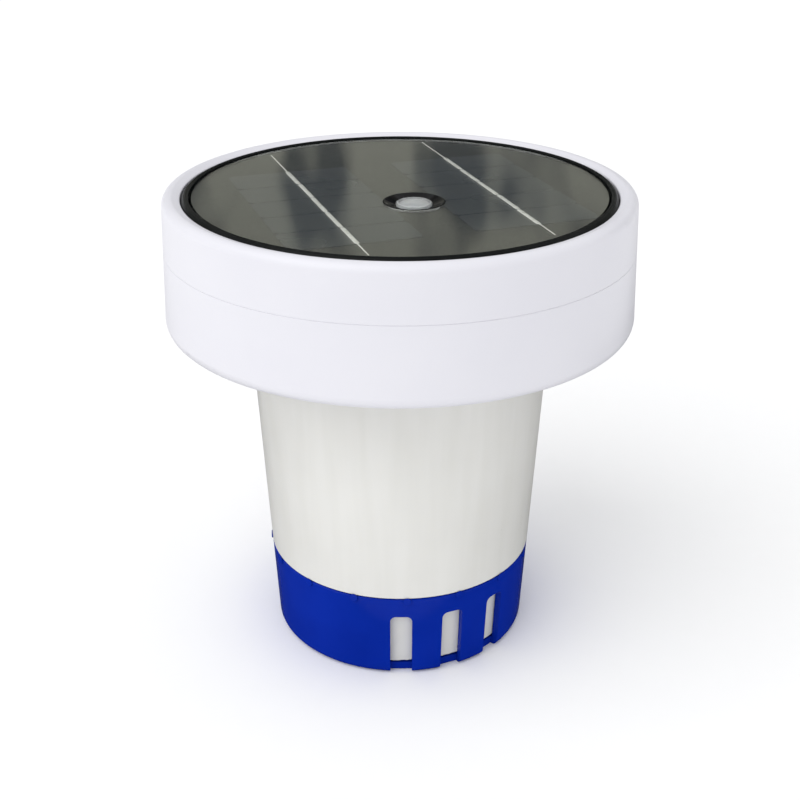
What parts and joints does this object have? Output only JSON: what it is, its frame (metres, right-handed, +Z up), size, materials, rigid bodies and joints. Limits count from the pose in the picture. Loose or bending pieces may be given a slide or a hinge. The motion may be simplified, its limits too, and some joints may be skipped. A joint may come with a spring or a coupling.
{
  "type": "floating chlorine dispenser",
  "caption": "Round white pool float with a solar panel and push button on top, over a tapered tablet cup that turns in a slotted blue dosing collar.",
  "frame": {"origin": "centre of the dosing collar's underside, which it stands on", "axes": "+Z up along the cup's axis towards the solar panel; -Y is the front, where the first dosing slot is"},
  "size_m": [0.198, 0.198, 0.203],
  "materials": {
    "cup_white": "satin off-white polypropylene",
    "float_white": "satin white plastic",
    "collar_blue": "glossy blue plastic",
    "grey_rubber": "matt",
    "white_rubber": "matt",
    "black_plastic": "semi-gloss",
    "white_plastic": "matt",
    "board_black": "solder mask",
    "board_green": "solder mask",
    "board_white": "solder mask",
    "silicon": "dark coated silicon",
    "tinned_copper": "tinned",
    "clear_cover": "clear, polished",
    "clear_button": "clear, frosted inside",
    "steel": "plated",
    "ferrite": "matt",
    "capacitor_can": "sleeved",
    "white_foam": "foam",
    "battery_wrap": "shrink wrap",
    "diode_yellow": "phosphor",
    "red_insulation": "smooth",
    "black_insulation": "smooth"
  },
  "bodies": {
    "cup": {"tablet_cup": "cup_white"},
    "collar": {"dosing_collar": "collar_blue"},
    "gasket": {"neck_gasket": "grey_rubber"},
    "head": {"float_lower_shell": "float_white", "float_upper_shell": "float_white", "seam_seal": "grey_rubber", "shell_screws": "steel", "screw_plugs": "white_rubber", "panel_tray": "black_plastic", "tray_seal": "grey_rubber", "tray_screws": "steel", "panel_board": "board_black", "solar_cells": "silicon", "cell_ribbons": "tinned_copper", "panel_window": "clear_cover", "button_bezel": "black_plastic", "bezel_nut": "black_plastic", "return_boot": "grey_rubber", "button_retainer": "black_plastic", "push_switch": "black_plastic", "control_board": "board_green", "control_chip": "black_plastic", "charge_coil": "ferrite", "board_capacitors": "capacitor_can", "board_screws": "steel", "battery_holder": "black_plastic", "battery_pad": "white_foam", "battery_cell": "battery_wrap", "battery_contacts": "steel", "lamp_window": "clear_cover", "lamp_window_seal": "grey_rubber", "lamp_board": "board_white", "lamp_diodes": "diode_yellow", "lamp_board_screws": "steel", "panel_lead_red": "red_insulation", "panel_lead_black": "black_insulation", "battery_lead_red": "red_insulation", "battery_lead_black": "black_insulation", "lamp_lead_red": "red_insulation", "lamp_lead_black": "black_insulation"},
    "button": {"button_cap": "clear_button", "switch_plunger": "white_plastic"}
  },
  "joints": [
    {"name": "collar_turn", "type": "hinge", "parent": "cup", "child": "collar", "pos_m": [0, 0, 0], "axis": [0, 0, 1], "range_deg": [0, 67.5]},
    {"name": "head_lift", "type": "slide", "parent": "cup", "child": "gasket", "axis": [0, 0, 1], "range_m": [0, 0.096]},
    {"name": "head_turn", "type": "hinge", "parent": "gasket", "child": "head", "pos_m": [0, 0, 0.16], "axis": [0, 0, 1], "range_deg": [0, 1440]},
    {"name": "button_press", "type": "slide", "parent": "head", "child": "button", "axis": [0, 0, -1], "range_m": [0, 0.0012], "stiffness_N_per_m": 1200, "springref_m": -0.0008, "deforming": ["return_boot"]}
  ],
  "couplings": [
    {"joint": "head_lift", "follows": "head_turn", "m_per_rad": 0.0038197}
  ]
}
